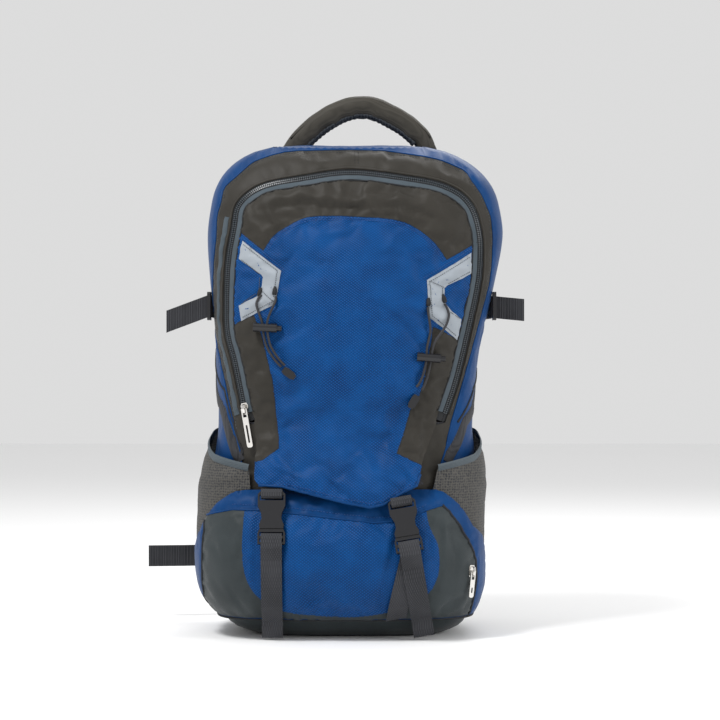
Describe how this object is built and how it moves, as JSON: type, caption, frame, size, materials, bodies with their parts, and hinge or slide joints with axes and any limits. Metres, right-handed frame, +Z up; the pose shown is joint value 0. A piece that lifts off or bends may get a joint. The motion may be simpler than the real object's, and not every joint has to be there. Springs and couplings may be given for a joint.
{
  "type": "daypack",
  "caption": "Hiking daypack with a zipped front flap, buckled lower pocket, mesh side pockets, bungee cords, carry handle, padded shoulder straps and a hip belt.",
  "frame": {"origin": "middle of the flat base, on the surface the pack stands on", "axes": "+Z up, the front of the pack faces -Y, +X to the right seen from the front"},
  "size_m": [0.4386, 0.3083, 0.6205],
  "materials": {
    "blue_fabric": "coated polyester, diamond weave, soft sheen",
    "grey_fabric": "coated polyester, fine plain weave",
    "mesh_fabric": "open elastic mesh",
    "pad_mesh": "air mesh over foam",
    "webbing": "woven polypropylene webbing, 25 mm",
    "zip_tape": "woven zip tape with nylon coil",
    "reflective": "retroreflective tape, matt grey in plain light",
    "lining": "thin polyester lining",
    "cord": "braided elastic cord",
    "buckle_plastic": "moulded acetal, satin gloss",
    "sheet_plastic": "polyethylene sheet",
    "stay_aluminium": "flat aluminium bar, brushed",
    "zip_metal": "plated zinc, worn bright"
  },
  "bodies": {
    "pack": {"main_shell": "blue_fabric", "base_panel": "grey_fabric", "frame_sheet": "sheet_plastic", "frame_stay": "stay_aluminium", "inner_sleeve": "lining", "zip_tape_outer": "zip_tape", "lower_pocket": "blue_fabric", "front_apron": "blue_fabric", "mesh_pocket_left": "mesh_fabric", "mesh_pocket_right": "mesh_fabric", "buckle_socket_left": "buckle_plastic", "buckle_socket_right": "buckle_plastic", "buckle_loop_left": "webbing", "buckle_loop_right": "webbing", "front_strap_left": "webbing", "front_strap_right": "webbing", "side_strap_left": "webbing", "side_strap_right": "webbing", "side_buckle_left": "buckle_plastic", "side_buckle_right": "buckle_plastic", "back_pad": "pad_mesh", "lumbar_pad": "pad_mesh", "strap_webbing_left": "webbing", "strap_webbing_right": "webbing", "load_lifter_left": "webbing", "load_lifter_right": "webbing"},
    "flap": {"front_flap": "blue_fabric", "zip_tape_inner": "zip_tape", "reflective_patch_left": "reflective", "reflective_patch_right": "reflective", "cord_left_inner": "cord", "cord_left_outer": "cord", "cord_right_inner": "cord", "cord_right_outer": "cord", "cord_end_left": "buckle_plastic", "cord_end_right": "buckle_plastic"},
    "zip_slider_body": {"zip_slider": "zip_metal"},
    "zip_pull_body": {"zip_pull": "zip_metal"},
    "pocket_zip_slider_body": {"pocket_zip_slider": "zip_metal"},
    "pocket_zip_pull_body": {"pocket_zip_pull": "zip_metal"},
    "left_plug": {"buckle_plug_left": "buckle_plastic"},
    "right_plug": {"buckle_plug_right": "buckle_plastic"},
    "left_lock": {"cord_lock_left": "buckle_plastic"},
    "right_lock": {"cord_lock_right": "buckle_plastic"},
    "left_lock_button": {"cord_lock_button_left": "buckle_plastic"},
    "right_lock_button": {"cord_lock_button_right": "buckle_plastic"},
    "handle": {"carry_handle": "grey_fabric"},
    "left_shoulder": {"shoulder_strap_left": "grey_fabric", "strap_adjuster_left": "buckle_plastic"},
    "right_shoulder": {"shoulder_strap_right": "grey_fabric", "strap_adjuster_right": "buckle_plastic"},
    "left_hip": {"hip_wing_left": "grey_fabric", "hip_webbing_left": "webbing", "hip_buckle_plug": "buckle_plastic"},
    "right_hip": {"hip_wing_right": "grey_fabric", "hip_webbing_right": "webbing", "hip_buckle_socket": "buckle_plastic"}
  },
  "joints": [
    {"name": "front_flap_open", "type": "hinge", "parent": "pack", "child": "flap", "pos_m": [0, -0.1135, 0.24], "axis": [1, 0, 0], "range_deg": [0, 100]},
    {"name": "main_zip_slide", "type": "slide", "parent": "flap", "child": "zip_slider_body", "axis": [-0.1958, 0.0563, 0.979], "range_m": [0, 0.028]},
    {"name": "main_pull_swing", "type": "hinge", "parent": "zip_slider_body", "child": "zip_pull_body", "pos_m": [-0.11184, -0.09575, 0.25485], "axis": [-0.9078, 0.3894, -0.1558], "range_deg": [0, 150]},
    {"name": "pocket_zip_slide", "type": "slide", "parent": "pack", "child": "pocket_zip_slider_body", "axis": [0.0987, 0.099, 0.9902], "range_m": [0, 0.03]},
    {"name": "pocket_pull_swing", "type": "hinge", "parent": "pocket_zip_slider_body", "child": "pocket_zip_pull_body", "pos_m": [0.14149, -0.10114, 0.07585], "axis": [-0.728, -0.6816, 0.073], "range_deg": [0, 150]},
    {"name": "left_buckle_release", "type": "slide", "parent": "pack", "child": "left_plug", "axis": [0, -0.2474, -0.9689], "range_m": [0, 0.03], "deforming": ["front_strap_left"]},
    {"name": "right_buckle_release", "type": "slide", "parent": "pack", "child": "right_plug", "axis": [0.1639, -0.2474, -0.9549], "range_m": [0, 0.03], "deforming": ["front_strap_right"]},
    {"name": "left_lock_slide", "type": "slide", "parent": "flap", "child": "left_lock", "axis": [0.05, 0, 0.9987], "range_m": [-0.01, 0.01], "deforming": ["cord_left_inner", "cord_left_outer"]},
    {"name": "right_lock_slide", "type": "slide", "parent": "flap", "child": "right_lock", "axis": [0.0799, 0, 0.9968], "range_m": [-0.01, 0.01], "deforming": ["cord_right_inner", "cord_right_outer"]},
    {"name": "left_lock_press", "type": "slide", "parent": "left_lock", "child": "left_lock_button", "axis": [-0.9987, 0, 0.05], "range_m": [0, 0.0035], "stiffness_N_per_m": 200, "springref_m": -0.001},
    {"name": "right_lock_press", "type": "slide", "parent": "right_lock", "child": "right_lock_button", "axis": [-0.9968, 0, 0.0799], "range_m": [0, 0.0035], "stiffness_N_per_m": 200, "springref_m": -0.001},
    {"name": "handle_fold", "type": "hinge", "parent": "pack", "child": "handle", "pos_m": [0.022, 0.076, 0.562], "axis": [1, 0, 0], "range_deg": [-15, 15]},
    {"name": "left_shoulder_swing", "type": "hinge", "parent": "pack", "child": "left_shoulder", "pos_m": [-0.054, 0.112, 0.488], "axis": [1, 0, 0], "range_deg": [0, 30], "deforming": ["strap_webbing_left", "load_lifter_left"]},
    {"name": "right_shoulder_swing", "type": "hinge", "parent": "pack", "child": "right_shoulder", "pos_m": [0.054, 0.112, 0.488], "axis": [1, 0, 0], "range_deg": [0, 30], "deforming": ["strap_webbing_right", "load_lifter_right"]},
    {"name": "left_hip_swing", "type": "hinge", "parent": "pack", "child": "left_hip", "pos_m": [-0.0563, 0.1048, 0.088], "axis": [0, 0, -1], "range_deg": [0, 60]},
    {"name": "right_hip_swing", "type": "hinge", "parent": "pack", "child": "right_hip", "pos_m": [0.0563, 0.1048, 0.088], "axis": [0, 0, 1], "range_deg": [0, 60]}
  ],
  "couplings": [
    {"joint": "main_pull_swing", "follows": "front_flap_open", "ratio": 1.5}
  ]
}
